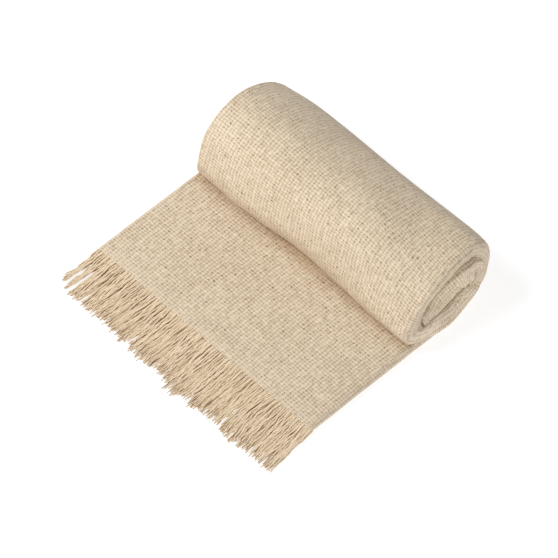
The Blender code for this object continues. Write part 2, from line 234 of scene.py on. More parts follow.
# The fringe: each layer of cloth lets its warp yarns out. Lengths from -X to +X.
FRINGE_LAYERS = 8
WARPS_ACROSS = 73
FRINGE_PLACES = (0.00, 0.05, 0.14, 0.23, 0.32, 0.40, 0.49, 0.57, 0.67, 0.76, 0.84, 0.93, 1.00)
FRINGE_LENGTHS = (0.0520, 0.0620, 0.0615, 0.0635, 0.0605, 0.0665, 0.0625, 0.0735, 0.0650, 0.0660,
                  0.0700, 0.0675, 0.0670)
# How the lengths differ: shorter on top, and ragged by lock and by yarn.
TOP_SHORTER = 0.08
LOCKS_RAGGED = 0.0014
LOCK_YARNS = 4
YARNS_RAGGED = 0.0024
# How a layer's yarns drift aside together, and each by itself.
LAYER_DRIFT = 0.0020
DRIFT_YARNS = 7
YARN_JITTER = 0.0003
YARN_STRAY = 0.0014
# The clumps that yarns lean to: their yarns, how far off their middle lies and what
# share of the way a yarn leans. The lean grows along a stretch of the yarn.
LEAST_CLUMP = 2
MOST_CLUMP = 5
CLUMP_JITTER = 0.0010
LEAST_LEAN = 0.20
MOST_LEAN = 0.60
LEAN_STARTS = 0.10
LEAN_SPAN = 0.75
# The first yarns at -X lie in close, straight locks.
CORNER_YARNS = 4
CORNER_CLUMP = 2
CORNER_JITTER = 0.0006
CORNER_LEAN = 0.80
# A lock that curves over its neighbours: where it starts, its half width and reach.
# It takes in the layers from a level on, softly over a span of them.
CURVED_LOCK = 0.83
CURVED_WIDTH = 0.035
CURVED_REACH = -0.0060
CURVED_LEVEL = 0.35
CURVED_SPAN = 0.50
# How far the yarns fan out towards the two corners.
FAN_AT_LEFT = -0.0020
FAN_AT_RIGHT = 0.0090
FAN_POWER = 4
# Slow and quick waves in a yarn: fewest and most on its length, and their reach.
Wave = namedtuple("Wave", "fewest most reach")
YARN_WAVES = (Wave(2.0, 3.6, 0.00062), Wave(5.0, 7.0, 0.00024))
WAVE_LIFT = 0.5
WAVE_GROWS = 0.25
# The layers' roots in the cloth's edge and their heap on the floor.
ROOT_TUCKED = 0.0030
ROOT_MARGIN = 0.07
FRINGE_PILE = 0.0032
FALL_SPAN = 0.70
LOWEST_LINE = 0.9
LOWEST_POINT = 0.0001
# A yarn's thickness, with shares for the lowest and the top layer, root and tip.
YARN_RADIUS = 0.00122
LOW_FULLNESS = 1.10
TOP_FULLNESS = 0.78
ROOT_FULLNESS = 0.35
ROOT_SPAN = 0.35
TIP_THINNED = 0.45
TIP_STARTS = 0.75
SLUB_SWELL = 0.16
SLUB_KNOTS = 7
SLUB_LIMITS = (0.7, 1.4)
YARN_SIDES = 6
YARN_SEGMENTS = 16
YARN_ANGLES = np.arange(YARN_SIDES) * 2.0 * math.pi / YARN_SIDES
# The yarns' coordinates: how far one lies from the next, and its length.
YARN_APART = 3.0
YARN_ALONG = 60.0

# Colours of the woven yarns, the painted shade in the gaps between them, the rim's
# painted grey sheen, the painted shade along the creases and the fringe's yarns, whose
# deeper colour is also painted shade on the lower layers.
YARN_PALE = (0.765, 0.645, 0.483, 1.0)
YARN_DEEP = (0.54, 0.422, 0.290, 1.0)
GAP_SHADE_TAN = (0.47, 0.325, 0.205, 1.0)
GAP_SHADE_BROWN = (0.26, 0.150, 0.085, 1.0)
RIM_SHEEN_GREY = (0.60, 0.51, 0.410, 1.0)
CREASE_SHADE_TINT = (0.75, 0.64, 0.535, 1.0)
LOOSE_PALE = (0.835, 0.690, 0.500, 1.0)
LOOSE_DEEP_AND_SHADED = (0.540, 0.395, 0.252, 1.0)

# How the drawn yarns sway off the mesh's: how often and how far, in yarns, and where
# the noise is read for the warps and for the wefts.
Sway = namedtuple("Sway", "often reach warp_place weft_place")
SWAYS = (
    Sway(0.30, 0.90, (0.0, 0.0, 0.0), (37.2, 11.8, 0.0)),
    Sway(1.15, 0.50, (0.0, 9.0, 0.0), (5.0, 71.0, 0.0)),
)
# Noise that follows the yarns: how often it changes from warp to warp and from weft
# to weft, the height that it is read at, and its detail.
Grain = namedtuple("Grain", "often_u often_v height detail")
WARP_SLUBS = Grain(7.31, 0.45, 0.0, 2.0)
WEFT_SLUBS = Grain(0.45, 7.31, 5.0, 2.0)
TWIST = Grain(5.0, 5.0, 0.0, 3.0)
HEATHER = Grain(0.8, 0.8, 8.0, 1.0)
FUZZ = Grain(1.3, 1.3, 21.0, 1.0)
LOOSE_STREAKS = Grain(1.6, 0.25, 0.0, 3.0)
LOOSE_STRANDS = Grain(5.7, 0.0, 0.0, 2.0)
# The wide patches of tone, the sway's detail, and the heights at which the single
# values of gaps and floats are read.
PATCH_OFTEN = 0.060
PATCH_DETAIL = 3.0
SWAY_DETAIL = 2.0
GAP_HEIGHT = 3.0
FLOAT_HEIGHT = 17.0
# Soft steps from one value to another.
Ramp = namedtuple("Ramp", "low high to_low to_high", defaults=(0.0, 1.0))
SLUB_RADIUS = Ramp(0.25, 0.75, 0.24, 0.57)
# How dark the painted shade in a gap is, from the gap's random value.
GAP_SHADE_DEPTH = Ramp(0.30, 1.0)
GAP_FUZZ = Ramp(0.30, 0.70, -0.32, 0.62)
YARN_COVER = Ramp(0.04, 0.55)
WOVEN_TONE = Ramp(0.62, 1.26)
LOOSE_TONE = Ramp(0.55, 1.05)
RIM_STARTS = Ramp(70.8, 73.2)
RIM_ENDS = Ramp(74.5, 76.5, 1.0, 0.0)
RIM_PAST_FOOT = Ramp(-1.0, 5.0, 1.0, 0.40)
BORDER = Ramp(0.5, 4.0, 1.0, 0.0)
# How the painted shade along the creases varies from patch to patch.
CREASE_SHADE_PATCHES = Ramp(0.2, 0.8, 0.5, 1.0)
# A yarn where it passes over another: its middle height and how far it rises.
OVER_MIDDLE = 0.80
OVER_RISE = 0.20
# How thin the painted highlight along a yarn's crest is.
CREST_HIGHLIGHT_POWER = 4.0
# Shares in a woven yarn's tone of its float, twist, patch, heather and painted crest
# highlight, and in a loose one's of its streaks, its strand and its layer, whose share
# is painted shade that darkens the lower layers.
WOVEN_SHARES = (0.20, 0.65, 0.35, 0.45, 0.60)
LOOSE_SHARES = (0.50, 0.70, 0.35)
# How smooth the rim, the border and the roll's crease are, how much of the pale yarn
# colour the border has, and how much painted grey sheen the rim has.
RIM_SMOOTH = 0.55
BORDER_SMOOTH = 0.50
CREASE_SMOOTH = 0.70
BORDER_PALE = 0.35
RIM_SHEEN_SHARE = 0.30
# Bands of painted shade along the creases that the rolling pressed in, where the roll
# meets the flat end, in wefts from a place of the path: where each starts, is darkest and
# ends. At the sides they end softly.
UNDER_CREASE = (-5.5, 0.5, 8.5)
FOOT_CREASE = (-10.0, -2.5, 11.0)
CREASE_EDGE = 0.5
# Streaks of a loose yarn, round it and along it.
STREAKS_ROUND = 3.0
STREAKS_ALONG = 0.35
# Fine relief: its strength and its height.
WOVEN_BUMP = (0.9, 0.0007)
TWIST_BUMP = 0.4
LOOSE_BUMP = (0.45, 0.0004)
# Matt and a little fuzzy, as loose yarn is.
CLOTH_FINISH = {
    "Roughness": 0.92,
    "Specular IOR Level": 0.15,
    "Sheen Weight": 0.25,
    "Sheen Roughness": 0.6,
    "Sheen Tint": (1.0, 0.95, 0.88, 1.0),
}
# Sockets of a mixed colour: its two colours and the mix.
MIX_FIRST = 6
MIX_SECOND = 7
MIX_RESULT = 2

# The floor and the lights.
FLOOR_REACH = 6.0
FLOOR_Z = -0.0003
FLOOR_FINISH = {
    "Base Color": (0.43, 0.43, 0.435, 1.0),
    "Roughness": 0.9,
    "Emission Color": (1.0, 1.0, 1.0, 1.0),
    "Emission Strength": 0.73,
}
ROOM_COLOUR = (1.0, 1.0, 1.0, 1.0)
ROOM_LIGHT = 0.38
Lamp = namedtuple("Lamp", "name place side power")
LAMPS = (
    Lamp("key", (-1.15, -1.15, 1.85), 1.3, 49.5),
    Lamp("end_fill", (1.9, -0.5, 0.6), 1.2, 12.5),
)

# The camera: its directions, the scale and one matched place of the photograph.
AZIMUTH = math.radians(46.2)
ELEVATION = math.radians(51.5)
IMAGE_SIDE = 558
PIXELS_PER_METRE = 941.5
MATCHED_PIXEL = (411.8, 350.3)
MATCHED_HEIGHT = 0.0045
CAMERA_DISTANCE = 12.0
SENSOR_WIDTH = 36.0

RANDOM = np.random.default_rng(7)


def smooth_step(share):
    """A soft ramp from 0 to 1."""
    share = np.clip(share, 0.0, 1.0)
    return share * share * (3.0 - 2.0 * share)


def spline(values, position):
    """A smooth curve through evenly numbered values, and its slope."""
    last = len(values) - 1
    row = np.minimum(position.astype(int), last - 1)
    t = position - row
    before = values[np.maximum(row - 1, 0)]
    start = values[row]
    end = values[row + 1]
    after = values[np.minimum(row + 2, last)]
    b = end - before
    c = 2.0 * before - 5.0 * start + 4.0 * end - after
    d = 3.0 * (start - end) + after - before
    value = 0.5 * (2.0 * start + b * t + c * t * t + d * t ** 3)
    slope = 0.5 * (b + 2.0 * c * t + 3.0 * d * t * t)
    return value, slope


def path_at(position, x):
    """The strip's middle (y, z), outward direction, thickness and slide, as arrays."""
    ramp = smooth_step((x - RAMP_START) / (RAMP_END - RAMP_START))
    mixed = {}
    for measure in ("y", "z", "thick"):
        at_left = spline(PATH_COLUMNS[measure + "_left"], position)
        at_right = spline(PATH_COLUMNS[measure + "_right"], position)
        mixed[measure] = [a + ramp * (b - a) for a, b in zip(at_left, at_right)]
    slope_y, slope_z = mixed["y"][1], mixed["z"][1]
    length = np.hypot(slope_y, slope_z)
    outward = (slope_z / length, -slope_y / length)
    slid_left = spline(PATH_COLUMNS["slid_left"], position)[0]
    slid_right = spline(PATH_COLUMNS["slid_right"], position)[0]
    slide = slid_left + (slid_right - slid_left) * (x / STRIP_WIDTH + 0.5)
    return (mixed["y"][0], mixed["z"][0]), outward, mixed["thick"][0], slide


def laid(x, y):
    """A place of the flat end, whose right side has crept out towards the fringe."""
    crept = (x / STRIP_WIDTH + 0.5) * np.clip(y / STRIP_PATH[0].y_left, 0.0, 1.0)
    return x + TAIL_FLARE * crept, y - TAIL_SKEW * crept


def spread(points):
    """The points after the flat end has crept out a little at both of its sides."""
    moved = points.copy()
    x, y, z = np.moveaxis(points, -1, 0)
    share = np.clip(x / STRIP_WIDTH + 0.5, 0.0, 1.0)
    low = 1.0 - smooth_step((z - SPREAD_LOW) / SPREAD_RISE)
    near = smooth_step((SPREAD_FROM - y) / SPREAD_FADE)
    creep = SPREAD_RIGHT * share ** SPREAD_POWER - SPREAD_LEFT * (1.0 - share) ** SPREAD_POWER
    moved[..., 0] += creep * low * near
    return moved


def nearness(points, dent):
    """1 in the middle of a dent or swell, and less away from it."""
    away = (points - np.array(dent.middle)) / np.array(dent.reach)
    return np.exp(-(away ** 2).sum(axis=-1))[..., None]


def dented(points):
    """The points after the roll's shared dents, which fade out towards the floor."""
    moved = points.copy()
    rise = smooth_step((points[..., 2] - DENTS_START) / (DENTS_FULL - DENTS_START))
    for dent in DENTS:
        moved += rise[..., None] * nearness(points, dent) * np.array(dent.push)
    return moved


def sagged(points):
    """The points after the sag of the roll's foot, which spares the flat end."""
    moved = points.copy()
    x, y, z = np.moveaxis(points, -1, 0)
    reach = np.interp(x, FOOT_X, FOOT_SAG) * np.exp(-(y / FOOT_DEEP) ** 2)
    above = np.maximum(z - FOOT_TOP, 0.0) / FOOT_FADE
    reach = reach * smooth_step((z - FOOT_LOW) / FOOT_RISE) * np.exp(-above ** 2)
    moved[..., 1] -= reach
    moved[..., 2] -= FOOT_SINK * reach * np.exp(-above ** 2)
    return moved


def from_line(points, line):
    """How far points lie from a line of (y, z) places, looking along X."""
    nearest = np.full(points.shape[:-1], np.inf)
    flat = points[..., 1:]
    for start, end in zip(line, line[1:]):
        start = np.array(start)
        way = np.array(end) - start
        share = np.clip(((flat - start) @ way) / (way @ way), 0.0, 1.0)
        away = np.linalg.norm(flat - start - share[..., None] * way, axis=-1)
        nearest = np.minimum(nearest, away)
    return nearest


def end_shaped(points):
    """The points after the swells and creases of the right end."""
    moved = points.copy()
    share = smooth_step((points[..., 0] - END_STARTS) / (END_FULL - END_STARTS))
    for crease in END_CREASES:
        away = from_line(points, crease.line) / crease.width
        moved[..., 0] -= share * crease.depth * np.exp(-away ** 2)
    for swell in END_SWELLS:
        moved += nearness(points, swell) * np.array(swell.push)
    return moved


def strip_points(position, x, depth_share, lift):
    """Points of the strip from their x, their share of the half thickness outward, and
    how far along X and outward they are lifted off it."""
    (y, z), outward, thickness, slide = path_at(position, x)
    depth = depth_share * 0.5 * thickness + lift[1]
    flat_y = y + outward[0] * depth
    height = z + outward[1] * depth
    height = np.where(height < FLAT_UNDER, 0.0, height)
    new_x, new_y = laid(x + slide, flat_y)
    points = np.stack([new_x + lift[0], new_y, height], axis=-1)
    return end_shaped(dented(sagged(spread(points))))


# Sections of the folded strip.

class Outline:
    """One closed outline of the folded ribbon, grown run by run."""

    def __init__(self):
        self.points = []

    def add(self, x, depth, warp, across=0.0, up=0.0, fine=0.0):
        """A point, with its warp count, way out of the cloth and share of relief."""
        self.points.append((x, depth, across, up, warp, fine))

    def run(self, start, end, depth, up, warps, shares, fine=0.0):
        """Points along one face of a ply, from start to just before end."""
        for share in shares:
            warp = warps[0] + share * (warps[1] - warps[0])
            self.add(start + share * (end - start), depth, warp, 0.0, up, fine)

    def fold(self, edge, depths, radius, side, warps, steps):
        """Points round an inner fold, from its first depth to just before its last."""
        middle = 0.5 * (depths[0] + depths[1])
        turn = 1.0 if depths[0] > depths[1] else -1.0
        for step in range(steps):
            angle = turn * math.pi * (0.5 - step / steps)
            across = radius * side * math.cos(angle)
            warp = warps[0] + step / steps * (warps[1] - warps[0])
            self.add(edge + across, middle + radius * math.sin(angle), warp)

    def rim(self, edge, radius, joins, warps, steps, fine):
        """Points round the outermost fold. It is half round, and nearer a quarter round
        towards a side on which it runs together with the next turn."""
        for step in range(steps):
            up = math.cos(math.pi * step / steps)
            reach, slant = rim_profile(up, joins)
            warp = warps[0] + step / steps * (warps[1] - warps[0])
            self.add(edge + radius * reach, radius * up, warp, reach, slant, fine)

    def selvedge(self, edge, depth, half, up, warp):
        """The raw side of a ply: two cloths' edges with a notch between them."""
        thin = 0.5 * (half - 0.5 * NOTCH_GAP)
        brink = depth + up * 0.5 * NOTCH_GAP
        self.add(edge, depth + up * half, warp)
        self.add(edge - 0.5 * thin, depth + up * (half - thin), warp)
        self.add(edge, brink, warp)
        self.add(edge + NOTCH_DEPTH, depth, warp)
        self.add(edge, 2.0 * depth - brink, warp)
        self.add(edge - 0.5 * thin, depth - up * (half - thin), warp)


def rim_profile(up, joins):
    """How far out a rim reaches at a height of its half thickness, and its slant there."""
    slant = up * (1.0 - 0.5 * (joins[0] + joins[1])) + 0.5 * (joins[0] - joins[1])
    return math.sqrt(max(0.0, 1.0 - slant * slant)), slant


def outline_of(thickness, joins, fine_outer, fine_inner):
    """The strip's outline at one thickness. Fine faces have points for every yarn."""
    ply = (thickness - 3.0 * PLY_GAP) / 4.0
    pitch = ply + PLY_GAP
    half = 0.5 * ply
    depths = [1.5 * pitch, 0.5 * pitch, -0.5 * pitch, -1.5 * pitch]
    radius = 0.5 * thickness
    round_ply = 0.5 * pitch + half
    right = 0.5 * STRIP_WIDTH - radius
    left = -0.5 * STRIP_WIDTH + round_ply
    staggered = left + SELVEDGE_STAGGER
    top_end = right + radius * rim_profile(1.0, joins)[0]
    under_end = right + radius * rim_profile(-1.0, joins)[0]
    straight = WARPS_STRAIGHT
    turned = straight + WARPS_FOLD
    end = turned + straight
    outer = FINE_SHARES if fine_outer else TO_RIGHT
    inner = FINE_SHARES if fine_inner else TO_LEFT
    relief = 1.0 if fine_outer or fine_inner else 0.0
    line = Outline()
    line.run(left, top_end, depths[0] + half, 1.0, (0, straight), outer, float(fine_outer))
    line.rim(right, radius, joins, (straight, turned), POINTS_PER_YARN * WARPS_FOLD, relief)
    line.run(under_end, left, depths[3] - half, -1.0, (turned, end), inner, float(fine_inner))
    line.fold(left, (depths[3], depths[2]), round_ply, -1.0, (end, end + 1), LEFT_FOLD_STEPS)
    line.run(left, right, depths[2] + half, 1.0, (end + 1, end + 1 + straight), TO_RIGHT)
    line.fold(right, (depths[2], depths[1]), 0.5 * PLY_GAP, 1.0, (0, 1), TIGHT_STEPS)
    line.run(right, staggered, depths[1] - half, -1.0, (0, straight), TO_LEFT)
    line.selvedge(staggered, depths[1], half, -1.0, straight)
    line.run(staggered, right, depths[1] + half, 1.0, (straight, 0), TO_RIGHT)
    line.fold(right, (depths[1], depths[2]), round_ply, 1.0, (0, 1), RIGHT_FOLD_STEPS)
    line.run(right, left, depths[2] - half, -1.0, (0, straight), TO_LEFT)
    line.fold(left, (depths[2], depths[3]), 0.5 * PLY_GAP, -1.0, (0, 1), TIGHT_STEPS)
    line.run(left, right, depths[3] + half, 1.0, (straight, 0), TO_RIGHT)
    line.fold(right, (depths[3], depths[0]), 1.5 * pitch - half, 1.0, (0, 4), WIDE_FOLD_STEPS)
    line.run(right, left, depths[0] - half, -1.0, (0, straight), TO_LEFT)
    line.selvedge(left, depths[0], half, -1.0, 0)
    return np.array(line.points)


def stations():
    """Places along the path in three zones, with the wefts counted up to each place:
    half a weft apart where the weave shows, and further apart where it doesn't."""
    fine = np.linspace(0.0, LAST_PLACE, PATH_SAMPLES)
    (y, z), outward, thickness, _ = path_at(fine, np.zeros_like(fine))
    outer = 0.5 * thickness
    steps = np.hypot(np.diff(y + outward[0] * outer), np.diff(z + outward[1] * outer))
    travelled = np.concatenate([[0.0], np.cumsum(steps)])
    stops = (FLAT_END_STOPS, FINE_ROLL_STARTS, FINE_ROLL_STOPS, LAST_PLACE)
    sizes = (FINE_STEP, UNDER_STEP, FINE_STEP, CORE_STEP)
    zones = []
    start = 0.0
    for stop, size in zip(stops, sizes):
        end = float(np.interp(stop, fine, travelled))
        count = int(round((end - start) / size))
        lengths = start + size * np.arange(count + 1)
        if stop == LAST_PLACE:
            lengths = np.linspace(start, end, count + 1)
        zones.append((np.interp(lengths, travelled, fine), lengths / WEFT_PITCH))
        start = lengths[-1]
    flat, under, roll, core = zones
    joined = [np.concatenate([first, second[1:]]) for first, second in zip(under, roll)]
    return flat, joined, core


def weft_counts(zones):
    """How many wefts lie between the fringe and each named place of the path."""
    places = np.concatenate([zone[0] for zone in zones])
    wefts = np.concatenate([zone[1] for zone in zones])
    counts = np.interp(np.arange(len(STRIP_PATH)), places, wefts)
    return {row.place: float(count) for row, count in zip(STRIP_PATH, counts)}


def wander(count_yarns, count_along, reach, points_per_knot):
    """For each yarn a smooth random line along it, as one row of an array."""
    knots = max(LEAST_KNOTS, int(count_along / points_per_knot))
    rough = RANDOM.standard_normal((count_yarns, knots))
    places = np.linspace(0.0, knots - 1.0, count_along)
    lines = np.array([spline(row, places)[0] for row in rough])
    return np.clip(lines, -WANDER_LIMIT, WANDER_LIMIT) * reach


def zone_rings(places, wefts, fine_outer, fine_inner):
    """The rings of points of one zone, with their counts of warps and wefts."""
    thickness = path_at(places, np.zeros_like(places))[2]
    joins = np.clip([spline(values, places)[0] for values in RIM_JOINS], 0.0, 1.0).T
    outlines = [outline_of(thick, join, fine_outer, fine_inner)
                for thick, join in zip(thickness, joins)]
    x, depth, across, up, warp, fine = np.moveaxis(np.stack(outlines), -1, 0)
    rows, columns = x.shape
    position = np.broadcast_to(places[:, None], x.shape)
    weft = np.broadcast_to(wefts[:, None], x.shape)
    relief = 0.5 * (np.cos(2.0 * math.pi * warp) + np.cos(2.0 * math.pi * weft))
    unevenness = 1.0 + wander(columns, rows, RELIEF_UNEVEN, HEIGHT_KNOTS).T
    relief = WEAVE_RELIEF * relief * fine * unevenness
    aside = wander(columns, rows, YARN_WANDER, WARP_KNOTS).T * fine
    along = wander(rows, columns, YARN_WANDER / WEFT_PITCH, WEFT_KNOTS) * fine
    moved = np.clip(position + along * np.gradient(position, axis=0), 0.0, LAST_PLACE)
    depth_share = depth / (0.5 * thickness[:, None])
    lift = (across * relief, up * relief)
    points = strip_points(moved, x + aside * np.abs(up), depth_share, lift)
    return points, np.stack([warp, weft], axis=-1)


def tube_faces(base, rings, sides, round_first):
    """The faces between rings of points, numbered from base on. Their corners go round
    the ring first, or else along the tube first."""
    faces = []
    for i in range(rings - 1):
        for j in range(sides):
            a = base + i * sides + j
            b = base + i * sides + (j + 1) % sides
            second, last = (b, a + sides) if round_first else (a + sides, b)
            faces.append((a, second, b + sides, last))
    return faces


def build_cloth(zones):
    """The cloth in all its plies: closed rings of the outline swept along the path."""
    vertices = []
    faces = []
    coordinates = []
    ring_sizes = []
    for (places, wefts), (fine_outer, fine_inner) in zip(zones, FINE_FACES):
        points, weave = zone_rings(places, wefts, fine_outer, fine_inner)
        rows, columns = points.shape[:2]
        faces.extend(tube_faces(len(vertices), rows, columns, False))
        vertices.extend(points.reshape(-1, 3))
        coordinates.extend(weave.reshape(-1, 2))
        ring_sizes.append(columns)
    faces.append(list(range(ring_sizes[0])))
    faces.append(list(range(len(vertices) - ring_sizes[-1], len(vertices)))[::-1])
    return vertices, faces, coordinates


def make_piece(name, vertices, faces, coordinates):
    """A smooth mesh object with the weave's coordinates on its corners."""
    mesh = bpy.data.meshes.new(name)
    mesh.from_pydata([tuple(v) for v in vertices], [], faces)
    layer = mesh.uv_layers.new(name="weave")
    corners = np.empty(len(mesh.loops), np.int32)
    mesh.loops.foreach_get("vertex_index", corners)
    layer.data.foreach_set("uv", np.array(coordinates, np.float32)[corners].ravel())
    mesh.shade_smooth()
    piece = bpy.data.objects.new(name, mesh)
    bpy.context.scene.collection.objects.link(piece)
    return piece


# The fringe's yarns.

def fringe_paths():
    """The middle lines of all the yarns of the fringe, one array each."""
    paths = []
    pitch = STRIP_WIDTH / WARPS_ACROSS
    locks = wander(1, WARPS_ACROSS, LOCKS_RAGGED, LOCK_YARNS)[0]
    for layer in range(FRINGE_LAYERS):
        level = (layer + 0.5) / FRINGE_LAYERS
        drift = wander(1, WARPS_ACROSS, LAYER_DRIFT, DRIFT_YARNS)[0]
        groups = clump_centres(pitch)
        for yarn in range(WARPS_ACROSS):
            across = yarn / (WARPS_ACROSS - 1)
            x = -0.5 * STRIP_WIDTH + (yarn + 0.5) * pitch
            x += (layer % 2 - 0.5) * 0.5 * pitch
            x += RANDOM.normal(0.0, YARN_JITTER)
            paths.append(yarn_path(x, across, level, drift[yarn], groups[yarn], locks[yarn]))
    return paths


def clump_centres(pitch):
    """For each yarn of a layer the middle of the clump that it leans to."""
    centres = np.zeros(WARPS_ACROSS)
    start = 0
    while start < WARPS_ACROSS:
        size = CORNER_CLUMP
        jitter = CORNER_JITTER
        if start >= CORNER_YARNS:
            size = int(RANDOM.integers(LEAST_CLUMP, MOST_CLUMP + 1))
            jitter = CLUMP_JITTER
        stop = min(start + size, WARPS_ACROSS)
        middle = -0.5 * STRIP_WIDTH + 0.5 * (start + stop) * pitch
        centres[start:stop] = middle + RANDOM.normal(0.0, jitter)
        start = stop
    return centres


def yarn_path(x, across, level, drift, clump, longer):
    """One yarn's line from inside the cloth's edge out to its tip near the floor."""
    t = np.linspace(0.0, 1.0, YARN_SEGMENTS + 1)
    edge = STRIP_PATH[0]
    length = np.interp(across, FRINGE_PLACES, FRINGE_LENGTHS) * (1.0 - TOP_SHORTER * level)
    length += longer + RANDOM.normal(0.0, YARNS_RAGGED)
    lean = RANDOM.uniform(LEAST_LEAN, MOST_LEAN)
    stray = RANDOM.normal(0.0, YARN_STRAY)
    if across * (WARPS_ACROSS - 1) < CORNER_YARNS - 0.5:
        lean = CORNER_LEAN
        stray = 0.0
    fan = FAN_AT_LEFT * (1.0 - across) ** FAN_POWER + FAN_AT_RIGHT * across ** FAN_POWER
    wave, lift = yarn_waves(t)
    line_x = x + (clump - x) * lean * smooth_step((t - LEAN_STARTS) / LEAN_SPAN)
    line_x += drift * t * t + (fan + stray) * t + wave
    line_x += lock_curve(across, level) * np.sin(math.pi * t)
    line_z = np.maximum(yarn_fall(t, across, level) + lift, LOWEST_LINE * YARN_RADIUS)
    line_y = edge.y_left + ROOT_TUCKED - t * (length + ROOT_TUCKED)
    creep_x, creep_y = laid(x, edge.y_left)
    root_x = spread(np.array([creep_x, creep_y, 0.0]))[0]
    return np.stack([line_x + root_x - x, line_y + creep_y - edge.y_left, line_z], axis=-1)


def yarn_waves(t):
    """A yarn's waves, sideways and upward, which grow out from its root."""
    sideways = np.zeros_like(t)
    upward = np.zeros_like(t)
    counts = [RANDOM.uniform(wave.fewest, wave.most) for wave in YARN_WAVES]
    for count, wave in zip(counts, YARN_WAVES):
        angle = 2.0 * math.pi * count * t
        sideways += wave.reach * np.sin(angle + RANDOM.uniform(0.0, 2.0 * math.pi))
        upward += WAVE_LIFT * wave.reach * np.sin(angle + RANDOM.uniform(0.0, 2.0 * math.pi))
    grown = smooth_step(t / WAVE_GROWS)
    return sideways * grown, upward * grown


def lock_curve(across, level):
    """How far a yarn bows out with the curved lock, which lies on the upper layers."""
    away = (across - CURVED_LOCK) / CURVED_WIDTH
    return CURVED_REACH * math.exp(-away ** 2) * smooth_step((level - CURVED_LEVEL) / CURVED_SPAN)


def yarn_fall(t, across, level):
    """A yarn's way down from its layer in the cloth's edge to its layer on the floor."""
    edge = STRIP_PATH[0]
    thickness = edge.thick_left + across * (edge.thick_right - edge.thick_left)
    root_z = thickness * (ROOT_MARGIN + level * (1.0 - 2.0 * ROOT_MARGIN))
    rest_z = YARN_RADIUS + FRINGE_PILE * level
    return root_z + (rest_z - root_z) * smooth_step(t / FALL_SPAN)


def yarn_radii(t, level):
    """A yarn's radius along it: full at its root, slubby, and thin at its tip."""
    slubs = 1.0 + SLUB_SWELL * spline(RANDOM.standard_normal(SLUB_KNOTS), t * (SLUB_KNOTS - 1))[0]
    root = ROOT_FULLNESS * (1.0 - smooth_step(t / ROOT_SPAN))
    tip = TIP_THINNED * smooth_step((t - TIP_STARTS) / (1.0 - TIP_STARTS))
    fullness = (1.0 + root - tip) * (LOW_FULLNESS + level * (TOP_FULLNESS - LOW_FULLNESS))
    return YARN_RADIUS * np.clip(slubs, *SLUB_LIMITS) * fullness


def tube_points(line, radii):
    """Rings of points round a yarn's line, none of them under the floor."""
    tangent = np.gradient(line, axis=0)
    tangent /= np.linalg.norm(tangent, axis=1)[:, None]
    side = np.cross(tangent, (0.0, 0.0, 1.0))
    side /= np.linalg.norm(side, axis=1)[:, None]
    rise = np.cross(side, tangent)
    sideways = side[:, None, :] * np.cos(YARN_ANGLES)[None, :, None]
    upward = rise[:, None, :] * np.sin(YARN_ANGLES)[None, :, None]
    points = line[:, None, :] + (sideways + upward) * radii[:, None, None]
    points[..., 2] = np.maximum(points[..., 2], LOWEST_POINT)
    return points


def build_fringe():
    """All the yarns as one mesh of slim tubes, thinner and blunt at their tips."""
    vertices = []
    faces = []
    coordinates = []
    t = np.linspace(0.0, 1.0, YARN_SEGMENTS + 1)
    for number, line in enumerate(fringe_paths()):
        level = (number // WARPS_ACROSS) / (FRINGE_LAYERS - 1)
        root = len(vertices)
        tip = root + YARN_SEGMENTS * YARN_SIDES
        vertices.extend(tube_points(line, yarn_radii(t, level)).reshape(-1, 3))
        turn = YARN_ANGLES / (2.0 * math.pi) + number * YARN_APART
        around, along = np.meshgrid(turn, t * YARN_ALONG)
        coordinates.extend(np.stack([around, along], axis=-1).reshape(-1, 2))
        faces.extend(tube_faces(root, len(t), YARN_SIDES, True))
        faces.append(list(range(root, root + YARN_SIDES))[::-1])
        faces.append(list(range(tip, tip + YARN_SIDES)))
    return vertices, faces, coordinates


# Materials.

